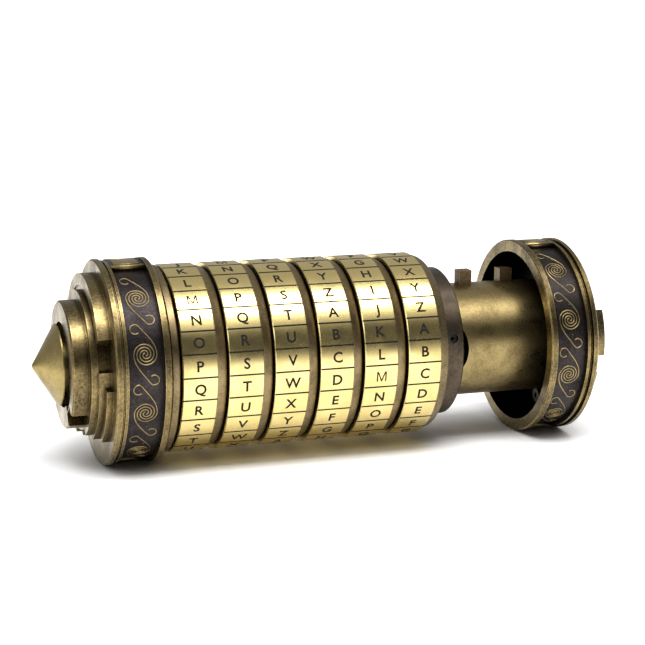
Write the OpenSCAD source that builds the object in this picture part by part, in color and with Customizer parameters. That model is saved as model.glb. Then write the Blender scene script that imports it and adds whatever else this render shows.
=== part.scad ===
// Cryptex: six letter dials on a slotted sleeve, with a capsule that slides out of the right end.
// The axis runs along X at the height of the cap radius. Millimetres, +Z up.
// Stations along the axis are counted from the outer face of the left cap.

/* [Caps] */
// Outer radius of both end caps
cap_r = 25; // [24.5:0.1:26]
// Length of each end cap along the axis
cap_len = 13; // [12.5:0.1:13.1]
// Depth of the recessed scroll band below the cap rims
band_recess = 1.5; // [1.2:0.1:1.8]

/* [Dials] */
// Distance from one dial to the next
pitch = 11.3; // [11.2:0.05:11.4]
// Outer radius of the letter bands
letter_r = 23; // [22.8:0.1:23.4]
// Width of the lettered part of a dial
letter_w = 8.5; // [8.2:0.1:8.8]
// Gap between neighbouring dials
dial_gap = 0.5; // [0.3:0.1:0.7]

/* [Capsule] */
// Outer radius of the capsule tube
tube_r = 14.5; // [14.3:0.1:14.6]
// Wall thickness of the capsule tube
tube_wall = 1.4; // [1.2:0.1:1.6]
// Width of one key lug along the axis
lug_len = 3.4; // [3.2:0.1:3.6]
// Width of one key lug across the axis
lug_w = 3.2; // [3:0.1:3.6]

/* [Hidden] */
$fn = 96;
DIALS = 6;
fit = 0.06;             // radial running clearance
first_dial = 16;        // station where the first dial starts
dial_len = pitch - dial_gap;
shoulder_r = 21.9;      // small end of a dial's sloping shoulder
core_r = 22;            // seat of the letter band
code_r = 19.6;          // seat of the code ring inside the dial ring
lug_top = 18;           // radius at the top of the lugs
groove_r = lug_top + 0.4;
sleeve_r = 16.2;
bore_r = tube_r + fit;
flange_at = 3.8;        // start of the notched flange inside a dial
flange_len = 3.6;
stack_end = first_dial + DIALS * pitch - dial_gap;
hub_at = stack_end + dial_gap;
hub_len = 5.1;
hub_r = 18.9;
hub_end = hub_at + hub_len;
mouth_at = 110;         // station of the right cap's open rim
right_face = mouth_at + cap_len;
wall = 2.5;             // end wall of both caps
cup_r = 22;             // inside of the right cap
left_bore_r = 21;       // inside of the left cap
tube_start = 39;
first_lug = 94.6 - 4 * pitch;
slot_start = 23;        // inner end of the lug slot in the sleeve
slot_play = 0.15;       // room on each side of a lug in the slot
window_r = 10;
window_end = 92;
cone_tip = 15.5;        // how far the cone stands out from the left face
cone_base = 9.6;
drum_face = 8.4;
drum_foot = 4.5;
middle_foot = 2.9;
button_h = 8;
screw_r = 1;
head_r = 1.8;
head_h = 1.2;
screw_ring = 18.4;      // radius of the circle that the sleeve screws stand on
cap_screw_ring = 16.8;  // the same for the capsule screws
set_screw_at = [168, 2.2];  // angle and height of the hub's set screw
stud_r = 2;
lower_step_r = 21.8;    // outer radius of the left cap's lowest plate
middle_r = 19;          // its middle plate
middle_top_r = 17.9;
front_notch = [155, 176.5];
under_notch = [243, 280];
drum_r = 15.5;
drum_floor = 1.5;       // depth of metal left under the drum's recess
drum_notch = [221, 240];
band_from = 2.9;        // start of the scroll band's seat
rim_len = 1.6;          // length of a cap's mouth rim
tube_flange_r = 19;
tube_flange_len = 1.5;
sleeve_flange_r = 20.5;
sleeve_flange_len = 2.5;
mid_x = (right_face + button_h - cone_tip) / 2;

// Puts children on the axis at a station: their Z runs along +X, 90 degrees is up, 180 is the front.
module at(station)
    translate([station - mid_x, 0, cap_r]) rotate([90, 0, 90]) children();

// The same, with Z running outward from the left cap's face.
module on_left_face(height = 0)
    mirror([1, 0, 0]) translate([mid_x + height, 0, cap_r]) rotate([90, 0, 90]) children();

module ring(r_out, r_in, length)
    difference() {
        cylinder(r = r_out, h = length);
        translate([0, 0, -1]) cylinder(r = r_in, h = length + 2);
    }

// A wedge from angle a to angle b, for keeping or cutting part of a disc.
module wedge(r, a, b, length)
    linear_extrude(length)
        polygon(concat([[0, 0]], [for (i = [0:8]) let (t = a + (b - a) * i / 8)
            [r * cos(t), r * sin(t)]]));

// Part of a ring between two angles.
module arc_block(r_out, r_in, a, b, length)
    intersection() {
        ring(r_out, r_in, length);
        wedge(2 * r_out, a, b, length);
    }

module screw(length) {
    cylinder(r = screw_r, h = length, $fn = 24);
    translate([0, 0, length]) difference() {
        cylinder(r = head_r, h = head_h, $fn = 24);
        translate([0, 0, head_h / 2]) cylinder(r = head_r / 2, h = head_h, $fn = 6);
    }
}

module in_three(radius)
    for (a = [30, 150, 270]) rotate(a) translate([radius, 0, 0]) children();

// One end cap standing on its face: rim, groove, thin line, band seat and mouth rim.
module cap_profile(inner_r) {
    seat = cap_r - band_recess - 1;
    rotate_extrude() polygon([[0, 0], [cap_r - 0.4, 0], [cap_r, 0.4], [cap_r, 1.4], [cap_r - 0.9, 1.5],
        [cap_r - 0.9, 2.1], [cap_r - 0.4, 2.2], [cap_r - 0.4, band_from], [seat, band_from],
        [seat, cap_len - rim_len], [cap_r, cap_len - rim_len], [cap_r, cap_len - 0.3], [cap_r - 0.3, cap_len],
        [inner_r, cap_len], [inner_r, wall], [0, wall]]);
}

// The scroll band fills the seat and carries two plain plaques on opposite sides, the first at plaque_at.
module scroll_band(plaque_at) {
    seat = cap_r - band_recess - 1;
    length = cap_len - rim_len - band_from;
    translate([0, 0, band_from]) {
        ring(cap_r - band_recess, seat, length);
        for (a = [plaque_at, plaque_at + 180])
            arc_block(cap_r - 0.4, cap_r - band_recess, a, a + 20, length);
    }
}

module left_cap() color([0.42, 0.36, 0.22])
    at(0) difference() {
        cap_profile(left_bore_r);
        translate([0, 0, -1]) cylinder(r = stud_r, h = wall + 2);
        in_three(screw_ring) translate([0, 0, 1]) cylinder(r = screw_r, h = wall, $fn = 24);
    }

module left_scroll_band() color([0.2, 0.18, 0.17]) at(0) scroll_band(83);

// Lowest plate: a high part over the top and back, a low part below the front notch.
module left_lower_step() color([0.45, 0.38, 0.24])
    on_left_face() {
        arc_block(lower_step_r, middle_r, -20, front_notch[0], 3.2);
        arc_block(lower_step_r - 0.6, middle_r, 188, 232, 1.6);
    }

module left_middle_step() color([0.4, 0.34, 0.22])
    on_left_face() difference() {
        union() {
            cylinder(r = middle_r, h = middle_foot);
            cylinder(r = middle_top_r, h = drum_foot);
        }
        difference() {
            translate([0, 0, -1]) wedge(40, front_notch[0], front_notch[1], middle_foot + 1);
            translate([0, 0, -2]) cylinder(r = 16.5, h = 20);
        }
        difference() {
            translate([0, 0, -1]) wedge(40, under_notch[0], under_notch[1], 20);
            translate([0, 0, -2]) cylinder(r = 16, h = 40);
        }
        translate([0, 0, -1]) cylinder(r = stud_r, h = 20);
    }

// The drum has a round recess for the cone, a wider recess below and a notch in its rim.
module left_drum() color([0.5, 0.43, 0.26])
    on_left_face(drum_foot) difference() {
        rotate_extrude() polygon([[0, 0], [drum_r, 0], [drum_r, drum_face - drum_foot - 0.4],
            [drum_r - 0.4, drum_face - drum_foot], [0, drum_face - drum_foot]]);
        translate([0, 0, drum_floor]) cylinder(r = 10.4, h = 20);
        translate([0, 0, drum_floor]) intersection() {
            cylinder(r = 12.2, h = 20);
            wedge(40, 202, drum_notch[1], 20);
        }
        difference() {
            translate([0, 0, -1]) wedge(40, drum_notch[0], drum_notch[1], 20);
            translate([0, 0, -2]) cylinder(r = 12.4, h = 30);
        }
        translate([0, 0, -1]) cylinder(r = stud_r, h = 20);
    }

module cone_finial() color([0.62, 0.53, 0.3])
    on_left_face() rotate_extrude() polygon([[0, -5.5], [stud_r - 0.05, -5.5], [stud_r - 0.05, 6],
        [6.5, 6], [6.5, cone_base - 0.6], [9.9, cone_base - 0.3], [9.9, cone_base],
        [0.5, cone_tip - 0.1], [0, cone_tip]]);

module finial_nut() color([0.6, 0.55, 0.4])
    at(wall) difference() {
        cylinder(r = 4, h = 2.4, $fn = 6);
        translate([0, 0, -1]) cylinder(r = stud_r, h = 5);
    }

// The collar closes the left cap and gives the first dial its face.
module fixed_collar() color([0.45, 0.38, 0.24])
    at(0) rotate_extrude() polygon([[sleeve_r, 9], [left_bore_r, 9], [left_bore_r, cap_len + 0.4],
        [letter_r - 0.3, cap_len + 0.4], [letter_r, cap_len + 0.7], [letter_r, first_dial - 0.9],
        [letter_r - 0.4, first_dial - 0.5], [sleeve_r, first_dial - 0.5]]);

// The lugs ride in the slot along the top of the sleeve.
module locking_sleeve() color([0.55, 0.5, 0.35])
    at(0) difference() {
        union() {
            translate([0, 0, wall]) cylinder(r = sleeve_flange_r, h = sleeve_flange_len);
            translate([0, 0, wall]) cylinder(r = sleeve_r, h = hub_end - wall);
        }
        translate([0, 0, wall - 1]) cylinder(r = bore_r, h = hub_end);
        translate([-lug_w / 2 - slot_play, 0, slot_start]) cube([lug_w + 2 * slot_play, 30, 100]);
        in_three(screw_ring) cylinder(r = screw_r, h = 10, $fn = 24);
    }

module sleeve_screws() color([0.6, 0.6, 0.6])
    at(1) in_three(screw_ring) screw(wall + sleeve_flange_len - 1);

// The hub holds the stack on the sleeve; the lugs pass through a hidden keyway in its top.
module retaining_hub() color([0.3, 0.26, 0.2])
    at(hub_at) difference() {
        rotate_extrude() polygon([[sleeve_r, 0], [hub_r, 0], [hub_r, hub_len - 0.4],
            [hub_r - 0.4, hub_len], [sleeve_r, hub_len]]);
        translate([-lug_w / 2 - slot_play, 0, -1]) cube([lug_w + 2 * slot_play, lug_top + 0.2, 20]);
        rotate(set_screw_at[0]) translate([0, 0, set_screw_at[1]]) rotate([0, 90, 0])
            cylinder(r = 1.3, h = 30, $fn = 24);
    }

module hub_set_screw() color([0.15, 0.13, 0.12])
    at(hub_at) rotate(set_screw_at[0]) translate([sleeve_r + 0.05, 0, set_screw_at[1]])
        rotate([0, 90, 0]) difference() {
        cylinder(r = 1.28, h = 1.9, $fn = 24);
        translate([0, 0, 0.8]) cylinder(r = 0.7, h = 5, $fn = 6);
    }

module dial_ring(k) color([0.5, 0.42, 0.26])
    at(first_dial + (k - 1) * pitch) rotate_extrude() polygon([[code_r, 0], [core_r, 0],
        [core_r, letter_w], [letter_r - 0.2, letter_w], [shoulder_r + 0.2, dial_len - 0.3],
        [shoulder_r, dial_len], [code_r, dial_len]]);

module letter_band(k) color([0.9, 0.83, 0.55])
    at(first_dial + (k - 1) * pitch) rotate_extrude() polygon([[core_r, 0], [letter_r - 0.2, 0],
        [letter_r, 0.2], [letter_r, letter_w - 0.2], [letter_r - 0.2, letter_w], [core_r, letter_w]]);

// The flange inside a dial stops the lugs unless its notch is at the top.
module code_ring(k) color([0.6, 0.52, 0.35])
    at(first_dial + (k - 1) * pitch) difference() {
        union() {
            ring(code_r, groove_r, dial_len);
            translate([0, 0, flange_at]) ring(groove_r, sleeve_r + fit, flange_len);
        }
        translate([-lug_w / 2 - 0.3, 0, flange_at - 1]) cube([lug_w + 0.6, groove_r, flange_len + 2]);
    }

module capsule_tube() color([0.55, 0.48, 0.3])
    at(0) difference() {
        union() {
            translate([0, 0, tube_start]) cylinder(r = tube_r, h = right_face - wall - tube_start);
            translate([0, 0, right_face - wall - tube_flange_len])
                cylinder(r = tube_flange_r, h = tube_flange_len);
        }
        translate([0, 0, tube_start - 1]) cylinder(r = tube_r - tube_wall, h = 100);
        for (z = [tube_start + 6 + window_r, window_end - window_r])
            translate([0, 0, z]) rotate([0, -90, 0]) cylinder(r = window_r, h = 30);
        translate([-30, -window_r, tube_start + 6 + window_r])
            cube([30, 2 * window_r, window_end - tube_start - 6 - 2 * window_r]);
        in_three(cap_screw_ring) cylinder(r = screw_r, h = 200, $fn = 24);
    }

module capsule_plug() color([0.5, 0.42, 0.26])
    at(tube_start) cylinder(r = tube_r - tube_wall, h = 2);

module key_lugs() color([0.55, 0.45, 0.28])
    at(first_lug) for (k = [0:DIALS - 1])
        translate([0, 0, k * pitch]) difference() {
            translate([-lug_w / 2, 0, 0]) cube([lug_w, lug_top, lug_len]);
            translate([0, 0, -1]) cylinder(r = tube_r, h = lug_len + 2);
        }

// The right cap is the left cap turned round, so it is drawn from its end face.
module at_right_face() mirror([1, 0, 0])
    translate([mid_x - right_face, 0, cap_r]) rotate([90, 0, 90]) children();

module right_cap() color([0.45, 0.38, 0.24])
    at_right_face() difference() {
        cap_profile(cup_r);
        in_three(cap_screw_ring) translate([0, 0, 1]) cylinder(r = screw_r, h = wall, $fn = 24);
    }

module right_scroll_band() color([0.2, 0.18, 0.17]) at_right_face() scroll_band(78.6);

module right_lower_step() color([0.45, 0.38, 0.24])
    at(right_face) {
        cylinder(r = 17, h = 1.8);
        arc_block(20, 17, 154, 188, 4.2);
        arc_block(20.5, 17, 201, 209, 2.8);
    }

module right_upper_step() color([0.4, 0.34, 0.22])
    at(right_face + 1.8) cylinder(r = 14, h = 2.6);

module right_button() color([0.5, 0.43, 0.26])
    at(right_face + 4.4) cylinder(r = 8, h = button_h - 4.4);

module capsule_screws() color([0.6, 0.6, 0.6])
    at_right_face() translate([0, 0, 1]) in_three(cap_screw_ring) screw(wall + tube_flange_len - 1);

left_cap();
left_scroll_band();
left_lower_step();
left_middle_step();
left_drum();
cone_finial();
finial_nut();
fixed_collar();
locking_sleeve();
sleeve_screws();
retaining_hub();
hub_set_screw();
for (k = [1:DIALS]) {
    dial_ring(k);
    letter_band(k);
    code_ring(k);
}
capsule_tube();
capsule_plug();
key_lugs();
right_cap();
right_scroll_band();
right_lower_step();
right_upper_step();
right_button();
capsule_screws();
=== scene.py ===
"""Cryptex on a white floor: letters, scroll relief, antique brass finishes, camera and light."""
import math

import bmesh
import bpy
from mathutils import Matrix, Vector

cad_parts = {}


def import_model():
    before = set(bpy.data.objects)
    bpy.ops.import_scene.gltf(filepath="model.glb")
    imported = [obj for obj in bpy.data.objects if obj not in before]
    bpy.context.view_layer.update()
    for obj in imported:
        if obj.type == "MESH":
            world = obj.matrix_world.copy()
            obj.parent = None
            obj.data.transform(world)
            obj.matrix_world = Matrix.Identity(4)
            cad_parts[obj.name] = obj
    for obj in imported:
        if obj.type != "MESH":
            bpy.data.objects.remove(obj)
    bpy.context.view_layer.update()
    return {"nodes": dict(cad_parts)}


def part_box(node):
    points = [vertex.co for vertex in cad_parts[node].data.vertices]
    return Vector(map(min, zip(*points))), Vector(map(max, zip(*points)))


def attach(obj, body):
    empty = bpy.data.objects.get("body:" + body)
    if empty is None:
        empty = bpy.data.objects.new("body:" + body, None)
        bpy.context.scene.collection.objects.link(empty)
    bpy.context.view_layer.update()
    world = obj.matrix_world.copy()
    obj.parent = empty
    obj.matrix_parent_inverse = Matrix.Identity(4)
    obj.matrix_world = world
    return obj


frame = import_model()

MM = 0.001
AXIS_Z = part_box("left_cap")[1][2] / 2
LETTER_R = (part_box("dial_1_letter_band")[1][1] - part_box("dial_1_letter_band")[0][1]) / 2
CELL = 360 / 26
# The letter whose top edge stands just above the front of each dial
FRONT_LETTERS = "PSVCLB"
FRONT_EDGE = 12.3


def on_cylinder(x, angle, radius):
    """A point on a circle about the axis; angle 0 is the front (-Y), 90 is the top."""
    a = math.radians(angle)
    return Vector((x, -radius * math.cos(a), AXIS_Z + radius * math.sin(a)))


def wrap(x0, angle0, radius, u, v, lift):
    """A flat drawing's point (u along the axis, v upwards) laid on the cylinder."""
    return on_cylinder(x0 + u, angle0 + math.degrees(v / radius), radius + lift)


def new_piece(name, mesh, body, material):
    piece = bpy.data.objects.new(name, mesh)
    bpy.context.scene.collection.objects.link(piece)
    mesh.materials.append(material)
    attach(piece, body)
    return piece


# ---------------------------------------------------------------- materials

class Nodes:
    """Short calls for building a node material."""

    def __init__(self, name):
        self.mat = bpy.data.materials.new(name)
        self.mat.use_nodes = True
        self.tree = self.mat.node_tree
        self.shader = self.tree.nodes["Principled BSDF"]
        self.coord = self.add("ShaderNodeTexCoord").outputs["Object"]

    def add(self, kind, **settings):
        node = self.tree.nodes.new(kind)
        for key, value in settings.items():
            setattr(node, key, value)
        return node

    def link(self, a, b):
        self.tree.links.new(a, b)

    def noise(self, scale, detail=6.0, rough=0.6, stretch=(1, 1, 1)):
        mapping = self.add("ShaderNodeMapping")
        mapping.inputs["Scale"].default_value = stretch
        self.link(self.coord, mapping.inputs["Vector"])
        tex = self.add("ShaderNodeTexNoise")
        tex.inputs["Scale"].default_value = scale
        tex.inputs["Detail"].default_value = detail
        tex.inputs["Roughness"].default_value = rough
        self.link(mapping.outputs[0], tex.inputs["Vector"])
        return tex.outputs["Fac"]

    def ramp(self, value, low, high):
        node = self.add("ShaderNodeMapRange")
        node.inputs["From Min"].default_value = low
        node.inputs["From Max"].default_value = high
        self.link(value, node.inputs["Value"])
        return node.outputs["Result"]

    def scaled(self, value, low, high):
        node = self.add("ShaderNodeMapRange")
        node.inputs["To Min"].default_value = low
        node.inputs["To Max"].default_value = high
        self.link(value, node.inputs["Value"])
        return node.outputs["Result"]

    def math(self, kind, a, b):
        node = self.add("ShaderNodeMath", operation=kind)
        node.use_clamp = True
        for socket, value in zip(node.inputs, (a, b)):
            if isinstance(value, (int, float)):
                socket.default_value = value
            else:
                self.link(value, socket)
        return node.outputs[0]

    def mix(self, factor, a, b):
        node = self.add("ShaderNodeMix", data_type="RGBA")
        self.link(factor, node.inputs["Factor"])
        for socket, value in ((node.inputs["A"], a), (node.inputs["B"], b)):
            sockets = [s for s in node.inputs if s.name == socket.name and s.type == "RGBA"]
            if isinstance(value, tuple):
                sockets[0].default_value = (*value, 1)
            else:
                self.link(value, sockets[0])
        return [s for s in node.outputs if s.type == "RGBA"][0]

    def bump(self, height, strength, distance):
        node = self.add("ShaderNodeBump")
        node.inputs["Strength"].default_value = strength
        node.inputs["Distance"].default_value = distance
        self.link(height, node.inputs["Height"])
        self.link(node.outputs["Normal"], self.shader.inputs["Normal"])

    def edges(self, radius):
        """1 on outer and inner edges, 0 on open faces."""
        bevel = self.add("ShaderNodeBevel", samples=6)
        bevel.inputs["Radius"].default_value = radius
        face = self.add("ShaderNodeNewGeometry")
        dot = self.add("ShaderNodeVectorMath", operation="DOT_PRODUCT")
        self.link(bevel.outputs[0], dot.inputs[0])
        self.link(face.outputs["Normal"], dot.inputs[1])
        return self.ramp(dot.outputs["Value"], 0.985, 0.88)

    def hollow_shade(self, distance):
        """1 deep in corners, 0 in the open: the mask for painted shade."""
        node = self.add("ShaderNodeAmbientOcclusion", samples=8)
        node.inputs["Distance"].default_value = distance
        return self.ramp(node.outputs["AO"], 0.85, 0.25)


def antique(name, light, mid, dark, rough=(0.28, 0.5), metal=1.0, wear=1.0, mottle=420):
    """Antiqued brass: mottled patina, painted shade in corners and recesses, rubbed edges."""
    n = Nodes(name)
    clouds = n.ramp(n.noise(mottle * 0.35, 5), 0.38, 0.66)
    grains = n.ramp(n.noise(mottle * 4, 8, 0.72), 0.42, 0.62)
    colour = n.mix(clouds, mid, dark)
    colour = n.mix(n.math("MULTIPLY", grains, 0.35), colour, light)
    # painted shade: corners and recesses darkened towards near black by ambient occlusion
    colour = n.mix(n.math("MULTIPLY", n.hollow_shade(2.2 * MM), 0.85), colour, tuple(c * 0.12 for c in dark))
    rubbed = n.math("MULTIPLY", n.edges(0.22 * MM), n.scaled(grains, 0.55 * wear, wear))
    colour = n.mix(rubbed, colour, tuple(min(1, c * 1.25) for c in light))
    n.link(colour, n.shader.inputs["Base Color"])
    n.shader.inputs["Metallic"].default_value = metal
    n.link(n.scaled(clouds, *rough), n.shader.inputs["Roughness"])
    n.bump(n.noise(mottle * 5, 6), 0.25, 0.05 * MM)
    return n.mat


def letter_brass():
    """Polished brass with fine turning lines round the dial."""
    n = Nodes("letter_brass_polished")
    haze = n.ramp(n.noise(160, 4), 0.35, 0.7)
    lines = n.noise(900, 3, 0.5, (6, 0.4, 0.4))
    colour = n.mix(haze, (0.86, 0.70, 0.31), (0.74, 0.58, 0.23))
    colour = n.mix(n.math("MULTIPLY", n.edges(0.12 * MM), 0.5), colour, (0.95, 0.84, 0.48))
    n.link(colour, n.shader.inputs["Base Color"])
    n.shader.inputs["Metallic"].default_value = 1.0
    n.link(n.scaled(haze, 0.2, 0.3), n.shader.inputs["Roughness"])
    n.bump(lines, 0.12, 0.02 * MM)
    return n.mat


def ink():
    """Black enamel in the engraved letters."""
    n = Nodes("letter_enamel")
    spots = n.ramp(n.noise(2200, 5), 0.55, 0.8)
    n.link(n.mix(spots, (0.012, 0.010, 0.007), (0.05, 0.038, 0.018)), n.shader.inputs["Base Color"])
    n.link(n.scaled(spots, 0.6, 0.8), n.shader.inputs["Roughness"])
    n.shader.inputs["Specular IOR Level"].default_value = 0.15
    n.bump(spots, 0.2, 0.02 * MM)
    return n.mat


def blacken_cup_finish_and_shade(material, low_r, high_r, limit_x):
    """Blackens the inside of the cup: between two radii and left of limit_x. On the cup itself this is its own
    black finish inside; on the capsule tube it is painted shade on the flange that sits inside the cup.
    """
    n = Nodes.__new__(Nodes)
    n.mat = material
    n.tree = material.node_tree
    n.shader = n.tree.nodes["Principled BSDF"]
    n.coord = n.add("ShaderNodeTexCoord").outputs["Object"]
    split = n.add("ShaderNodeSeparateXYZ")
    n.link(n.coord, split.inputs[0])
    height = n.add("ShaderNodeMath", operation="SUBTRACT")
    n.link(split.outputs["Z"], height.inputs[0])
    height.inputs[1].default_value = AXIS_Z
    flat = n.add("ShaderNodeCombineXYZ")
    n.link(split.outputs["Y"], flat.inputs[0])
    n.link(height.outputs[0], flat.inputs[1])
    length = n.add("ShaderNodeVectorMath", operation="LENGTH")
    n.link(flat.outputs[0], length.inputs[0])
    inside = n.math("MULTIPLY", n.math("LESS_THAN", length.outputs["Value"], high_r),
                    n.math("GREATER_THAN", length.outputs["Value"], low_r))
    left = n.math("LESS_THAN", split.outputs["X"], limit_x)
    cup_finish_and_shade_mask = n.math("MULTIPLY", inside, left)
    base = n.shader.inputs["Base Color"].links[0].from_socket
    # near black: the cup's own black finish inside, and painted shade on the capsule tube's flange
    n.link(n.mix(cup_finish_and_shade_mask, base, (0.004, 0.0035, 0.003)), n.shader.inputs["Base Color"])
    return material


GOLD = (0.5, 0.39, 0.18)
BRASS = (0.2, 0.145, 0.06)
BROWN = (0.055, 0.04, 0.021)

antique_brass = antique("antique_brass_cast", GOLD, BRASS, BROWN, (0.24, 0.42))
cone_brass = antique("cone_brass_cast", (0.5, 0.40, 0.17), (0.35, 0.27, 0.10), (0.2, 0.145, 0.055), (0.3, 0.42))
dial_bronze = antique("dial_bronze_turned", (0.4, 0.31, 0.17), (0.24, 0.175, 0.09), (0.12, 0.09, 0.045))
lug_bronze = antique("lug_bronze", (0.34, 0.24, 0.11), (0.15, 0.10, 0.05), (0.08, 0.055, 0.03))
tube_brass = antique("capsule_brass_tube", (0.5, 0.39, 0.18), (0.31, 0.235, 0.10), (0.17, 0.125, 0.052),
                     (0.27, 0.4), mottle=520)
hub_bronze = antique("hub_bronze", (0.17, 0.125, 0.08), (0.085, 0.065, 0.046), (0.045, 0.036, 0.028), (0.35, 0.5))
inner_brass = antique("inner_brass", (0.5, 0.4, 0.2), (0.35, 0.27, 0.12), (0.2, 0.15, 0.07))
relief_ground = antique("relief_ground", (0.10, 0.085, 0.08), (0.035, 0.029, 0.029), (0.018, 0.015, 0.016),
                        (0.34, 0.5), wear=0.5)
relief_line = antique("relief_line", (0.55, 0.43, 0.2), (0.36, 0.27, 0.12), (0.2, 0.15, 0.07), wear=0.8)
steel = antique("screw_steel", (0.3, 0.28, 0.25), (0.1, 0.09, 0.08), (0.05, 0.045, 0.04))
strip_brass = letter_brass()
letter_ink = ink()
cup_brass = blacken_cup_finish_and_shade(antique("cup_brass_cast", GOLD, BRASS, BROWN, (0.24, 0.42)), 0.0, 22.03 * MM,
                             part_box("right_cap")[1][0] - 0.5 * MM)
# painted shade: the capsule tube's flange inside the cup is blackened in place of the cup's shadow
tube_brass = blacken_cup_finish_and_shade(tube_brass, 14.6 * MM, 22.03 * MM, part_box("right_cap")[1][0])

FINISHES = {
    "left_cap": antique_brass, "left_lower_step": antique_brass, "left_middle_step": antique_brass,
    "left_drum": antique_brass, "fixed_collar": dial_bronze, "right_cap": cup_brass,
    "right_lower_step": antique_brass, "right_upper_step": antique_brass,
    "right_button": antique_brass, "cone_finial": cone_brass, "left_scroll_band": relief_ground,
    "right_scroll_band": relief_ground, "retaining_hub": hub_bronze, "locking_sleeve": inner_brass,
    "capsule_tube": tube_brass, "capsule_plug": tube_brass, "key_lugs": lug_bronze,
    "sleeve_screws": steel, "hub_set_screw": steel, "capsule_screws": steel, "finial_nut": steel,
}
for k in range(1, 7):
    FINISHES[f"dial_{k}_ring"] = dial_bronze
    FINISHES[f"dial_{k}_letter_band"] = strip_brass
    FINISHES[f"dial_{k}_code_ring"] = inner_brass


def dress(node, material):
    piece = frame["nodes"][node]
    for place in piece.material_slots:
        place.material = material
    if not piece.material_slots:
        piece.data.materials.append(material)


for node, material in FINISHES.items():
    dress(node, material)

# ---------------------------------------------------------------- letters


def drawn_m(bm, height, thick):
    """The M as an outline, because the font's own M folds over itself when it is made bolder."""
    half, stem, shoulder, foot = 0.5 * height, 0.13 * height, 0.18 * height, 0.05 * height
    right = [(foot, 0), (half - stem, 0.8 * height), (half - stem, 0), (half, 0),
             (half, height), (half - shoulder, height)]
    outline = right + [(0, 0.2 * height)] + [(-u, v) for u, v in reversed(right)]
    top = [bm.verts.new((u, v, thick / 2)) for u, v in outline]
    low = [bm.verts.new((u, v, -thick / 2)) for u, v in outline]
    bm.faces.new(top)
    bm.faces.new(list(reversed(low)))
    for i in range(len(outline)):
        j = (i + 1) % len(outline)
        bm.faces.new((top[j], top[i], low[i], low[j]))
    bm.normal_update()
    bmesh.ops.triangulate(bm, faces=bm.faces)


def letter_mesh(letter, size, thick):
    """A letter as a closed flat solid, centred, cut across so that it can bend."""
    curve = bpy.data.curves.new("letter", "FONT")
    curve.body = letter
    curve.size = size
    curve.extrude = thick / 2
    curve.resolution_u = 3
    curve.align_x = "CENTER"
    curve.offset = 0.02 * size
    obj = bpy.data.objects.new("letter", curve)
    bpy.context.scene.collection.objects.link(obj)
    mesh = bpy.data.meshes.new_from_object(obj.evaluated_get(bpy.context.evaluated_depsgraph_get()))
    bpy.data.objects.remove(obj)
    bpy.data.curves.remove(curve)
    bm = bmesh.new()
    if letter == "M":
        drawn_m(bm, 0.69 * size, thick)
    else:
        bm.from_mesh(mesh)
    bpy.data.meshes.remove(mesh)
    bmesh.ops.remove_doubles(bm, verts=bm.verts, dist=1e-4)
    ys = [v.co.y for v in bm.verts]
    xs = [v.co.x for v in bm.verts]
    middle = Vector(((min(xs) + max(xs)) / 2, 0.36 * size, 0))
    for v in bm.verts:
        v.co -= middle
    low, high = min(ys) - middle.y, max(ys) - middle.y
    cuts = 6
    for i in range(1, cuts):
        bmesh.ops.bisect_plane(bm, geom=bm.verts[:] + bm.edges[:] + bm.faces[:],
                               plane_co=(0, low + (high - low) * i / cuts, 0), plane_no=(0, 1, 0))
    return bm


def bar(bm, x0, x1, angle, radius, width, low, high):
    """A thin bar along the axis, standing from radius + low to radius + high."""
    half = math.degrees(width / 2 / radius)
    corners = [bm.verts.new(on_cylinder(x, angle + s * half, radius + lift))
               for x in (x0, x1) for s in (-1, 1) for lift in (low, high)]
    for f in ((0, 1, 3, 2), (4, 6, 7, 5), (0, 4, 5, 1), (2, 3, 7, 6), (0, 2, 6, 4), (1, 5, 7, 3)):
        bm.faces.new([corners[i] for i in f])


# Drawn in millimetres, so that thin strokes keep their precision, and scaled when wrapped
LETTERS = {c: letter_mesh(c, 3.6, 0.06) for c in "ABCDEFGHIJKLMNOPQRSTUVWXYZ"}


def dial_letters(k):
    low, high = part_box(f"dial_{k}_letter_band")
    middle = (low[0] + high[0]) / 2
    bm = bmesh.new()
    first = ord(FRONT_LETTERS[k - 1]) - ord("A")
    for i in range(26):
        edge = FRONT_EDGE - CELL * i
        bar(bm, low[0] + 0.05 * MM, high[0] - 0.05 * MM, edge, LETTER_R, 0.38 * MM, -0.05 * MM, 0.03 * MM)
        shape = LETTERS[chr(ord("A") + (first + i) % 26)]
        points = {v: bm.verts.new(wrap(middle, edge - CELL / 2, LETTER_R, *(v.co * MM)))
                  for v in shape.verts}
        for face in shape.faces:
            bm.faces.new([points[v] for v in face.verts])
    bmesh.ops.recalc_face_normals(bm, faces=bm.faces)
    mesh = bpy.data.meshes.new(f"dial_{k}_letters")
    bm.to_mesh(mesh)
    bm.free()
    new_piece(f"dial_{k}_letters", mesh, f"dial_{k}", letter_ink)


for k in range(1, 7):
    dial_letters(k)
for shape in LETTERS.values():
    shape.free()

# ---------------------------------------------------------------- scroll relief

LINK = 34.7       # degrees from one spiral to the next
SPIRAL_R = 2.75 * MM
CURL_R = 1.15 * MM


def smooth(points, steps=5):
    """A Catmull-Rom curve through flat points."""
    out = []
    ends = [points[0]] + points + [points[-1]]
    for a, b, c, d in zip(ends, ends[1:], ends[2:], ends[3:]):
        for i in range(steps):
            t = i / steps
            out.append(tuple(0.5 * (2 * q + (r - p) * t + (2 * p - 5 * q + 4 * r - s) * t * t
                                    + (3 * q - p - 3 * r + s) * t ** 3)
                             for p, q, r, s in zip(a, b, c, d)))
    return out + [points[-1]]


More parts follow.
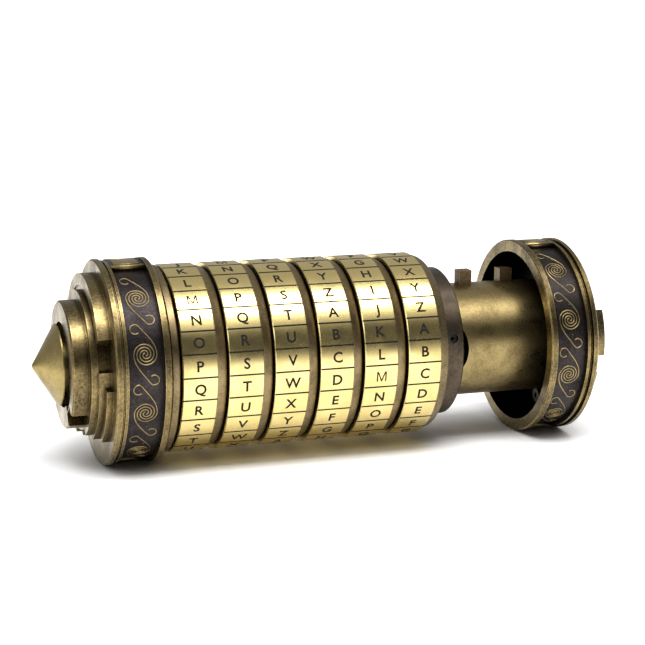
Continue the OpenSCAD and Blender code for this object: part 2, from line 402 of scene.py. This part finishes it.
def scroll_arm(drop):
    """Out of a spiral on its left, down across the band and into the curl on the right."""
    turns = 1.7
    spiral = []
    steps = 44
    for i in range(steps + 1):
        t = i / steps
        a = math.radians(180) + (1 - t) * turns * 2 * math.pi * -1
        r = SPIRAL_R * (0.1 + 0.9 * t)
        spiral.append((r * math.cos(a), r * math.sin(a)))
    curl = (1.9 * MM, -drop / 2 + 1.1 * MM)
    hook = [(curl[0] + CURL_R * math.cos(math.radians(a)), curl[1] + CURL_R * math.sin(math.radians(a)))
            for a in (-125, -85, -40, 5, 50, 95, 130)]
    across = [(-2.45 * MM, -1.7 * MM), (-1.5 * MM, -3.5 * MM), (-0.2 * MM, -5.2 * MM)]
    return spiral + smooth([spiral[-1]] + across + hook)[1:]


def tube(bm, points, x0, angle, radius, thick):
    """A half-sunk round bead along flat points laid on the cylinder."""
    sides = 6
    rings = []
    for i, p in enumerate(points):
        before, after = points[max(i - 1, 0)], points[min(i + 1, len(points) - 1)]
        along = Vector((after[0] - before[0], after[1] - before[1])).normalized()
        across = Vector((-along.y, along.x))
        ring = []
        for j in range(sides):
            a = 2 * math.pi * j / sides
            u = p[0] + across.x * thick * math.cos(a)
            v = p[1] + across.y * thick * math.cos(a)
            ring.append(bm.verts.new(wrap(x0, angle, radius, u, v, thick * 0.9 * math.sin(a))))
        rings.append(ring)
    for a, b in zip(rings, rings[1:]):
        for j in range(sides):
            bm.faces.new((a[j], a[(j + 1) % sides], b[(j + 1) % sides], b[j]))
    bm.faces.new(rings[0])
    bm.faces.new(list(reversed(rings[-1])))


def plate(bm, x0, x1, a0, a1, low, high, steps=16):
    """A curved plate on the cylinder between two angles and two radii."""
    rings = []
    for i in range(steps + 1):
        angle = a0 + (a1 - a0) * i / steps
        rings.append([bm.verts.new(on_cylinder(x, angle, r))
                      for x, r in ((x0, low), (x1, low), (x1, high), (x0, high))])
    for a, b in zip(rings, rings[1:]):
        for j in range(4):
            bm.faces.new((a[j], a[(j + 1) % 4], b[(j + 1) % 4], b[j]))
    bm.faces.new(rings[0])
    bm.faces.new(list(reversed(rings[-1])))


def scroll_relief(side, body, turned):
    low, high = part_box(f"{side}_scroll_band")
    middle = (low[0] + high[0]) / 2
    radius = (high[1] - low[1]) / 2
    drop = math.radians(LINK) * radius
    bm = bmesh.new()
    arm = scroll_arm(drop)
    other = [(-u, -v) for u, v in arm]
    for half in (0, 180):
        centres = [turned - 3 + half + LINK * (1.5 - i) for i in range(4)]
        for angle in centres:
            tube(bm, arm, middle, angle, radius, 0.16 * MM)
            tube(bm, other, middle, angle, radius, 0.16 * MM)
            for v in (-3.9 * MM, 3.9 * MM):
                dot = [(0.45 * MM + 0.02 * MM * i, v + 0.02 * MM * i) for i in range(3)]
                tube(bm, dot, middle, angle, radius, 0.2 * MM)
        far = turned - 3 + half + 90
        plaque_r = (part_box("left_cap")[1][2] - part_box("left_cap")[0][2]) / 2 - 0.4 * MM
        for edge in (-9.6, 9.6):
            plate(bm, low[0] + 0.15 * MM, high[0] - 0.15 * MM, far + edge - 0.9, far + edge + 0.9,
                  plaque_r - 1.3 * MM, plaque_r + 0.22 * MM, 2)
        plate(bm, low[0] + 1.2 * MM, high[0] - 1.2 * MM, far - 7, far + 7, plaque_r - 0.2 * MM,
              plaque_r + 0.12 * MM)
    bmesh.ops.recalc_face_normals(bm, faces=bm.faces)
    mesh = bpy.data.meshes.new(f"{side}_scroll_relief")
    bm.to_mesh(mesh)
    bm.free()
    mesh.polygons.foreach_set("use_smooth", [True] * len(mesh.polygons))
    new_piece(f"{side}_scroll_relief", mesh, body, relief_line)


scroll_relief("left", "barrel", 0)
scroll_relief("right", "capsule", 4.4)

# ---------------------------------------------------------------- floor, light, camera


def floor():
    bm = bmesh.new()
    bmesh.ops.create_grid(bm, x_segments=1, y_segments=1, size=6)
    mesh = bpy.data.meshes.new("floor")
    bm.to_mesh(mesh)
    bm.free()
    plane = bpy.data.objects.new("floor", mesh)
    bpy.context.scene.collection.objects.link(plane)
    n = Nodes("floor_white_painted_glow")
    n.shader.inputs["Base Color"].default_value = (0.93, 0.93, 0.93, 1)
    n.shader.inputs["Roughness"].default_value = 0.9
    n.shader.inputs["Specular IOR Level"].default_value = 0.1
    # painted light: the floor glows white in the open, and ambient occlusion fades the glow near the cryptex into
    # a painted contact shadow
    glow_shadow_ao = n.add("ShaderNodeAmbientOcclusion", samples=16)
    glow_shadow_ao.inputs["Distance"].default_value = 90 * MM
    n.shader.inputs["Emission Color"].default_value = (1, 1, 1, 1)
    n.link(n.scaled(n.ramp(glow_shadow_ao.outputs["AO"], 0.25, 0.98), 0.0, 0.7),
           n.shader.inputs["Emission Strength"])
    mesh.materials.append(n.mat)


def area(name, place, target, size, power):
    light = bpy.data.lights.new(name, "AREA")
    light.shape = "RECTANGLE"
    light.size, light.size_y = size
    light.energy = power
    obj = bpy.data.objects.new(name, light)
    obj.location = place
    obj.rotation_euler = (Vector(target) - Vector(place)).to_track_quat("-Z", "Y").to_euler()
    bpy.context.scene.collection.objects.link(obj)


def world():
    """White all round, with a dark band low in front between the two bright sides."""
    w = bpy.data.worlds.new("studio")
    bpy.context.scene.world = w
    w.use_nodes = True
    nodes, links = w.node_tree.nodes, w.node_tree.links
    back = nodes["Background"]
    coord = nodes.new("ShaderNodeTexCoord")
    split = nodes.new("ShaderNodeSeparateXYZ")
    links.new(coord.outputs["Generated"], split.inputs[0])
    front = nodes.new("ShaderNodeMapRange")
    front.inputs["From Min"].default_value = 0.1
    front.inputs["From Max"].default_value = -0.35
    links.new(split.outputs["Y"], front.inputs["Value"])
    band = nodes.new("ShaderNodeValToRGB")
    stops = [(0.0, 0.75), (0.50, 0.75), (0.535, 0.07), (0.79, 0.04), (0.86, 0.85), (1.0, 0.9)]
    band.color_ramp.elements[0].color = (stops[0][1],) * 3 + (1,)
    band.color_ramp.elements[1].color = (stops[-1][1],) * 3 + (1,)
    for place, value in stops[1:-1]:
        band.color_ramp.elements.new(place).color = (value, value, value, 1)
    rise = nodes.new("ShaderNodeMapRange")
    rise.inputs["From Min"].default_value = -1
    links.new(split.outputs["Z"], rise.inputs["Value"])
    links.new(rise.outputs["Result"], band.inputs["Fac"])
    mix = nodes.new("ShaderNodeMix")
    mix.data_type = "RGBA"
    links.new(front.outputs["Result"], mix.inputs["Factor"])
    colours = [s for s in mix.inputs if s.type == "RGBA"]
    colours[0].default_value = (0.42, 0.42, 0.42, 1)
    links.new(band.outputs["Color"], colours[1])
    seen = nodes.new("ShaderNodeMix")
    seen.data_type = "RGBA"
    path = nodes.new("ShaderNodeLightPath")
    links.new(path.outputs["Is Camera Ray"], seen.inputs["Factor"])
    pair = [s for s in seen.inputs if s.type == "RGBA"]
    links.new([s for s in mix.outputs if s.type == "RGBA"][0], pair[0])
    pair[1].default_value = (1, 1, 1, 1)
    links.new([s for s in seen.outputs if s.type == "RGBA"][0], back.inputs["Color"])


def camera():
    data = bpy.data.cameras.new("camera")
    data.lens = 95.4
    data.sensor_width = 36
    data.clip_start = 0.01
    obj = bpy.data.objects.new("camera", data)
    target = Vector((0.26 * MM, 0, AXIS_Z + 6.36 * MM))
    azimuth, elevation = math.radians(-18.8), math.radians(10.4)
    back = Vector((math.sin(azimuth) * math.cos(elevation), -math.cos(azimuth) * math.cos(elevation),
                   math.sin(elevation)))
    obj.location = target + back * 431 * MM
    obj.rotation_euler = (-back).to_track_quat("-Z", "Y").to_euler()
    bpy.context.scene.collection.objects.link(obj)
    bpy.context.scene.camera = obj


bpy.context.scene.view_settings.view_transform = "Standard"
floor()
world()
area("overhead", (0.0, -0.25, 0.75), (0, 0, 0.02), (0.7, 0.35), 6)
area("left_fill", (-0.7, -0.25, 0.35), (0, 0, 0.03), (0.3, 0.3), 0.6)
camera()
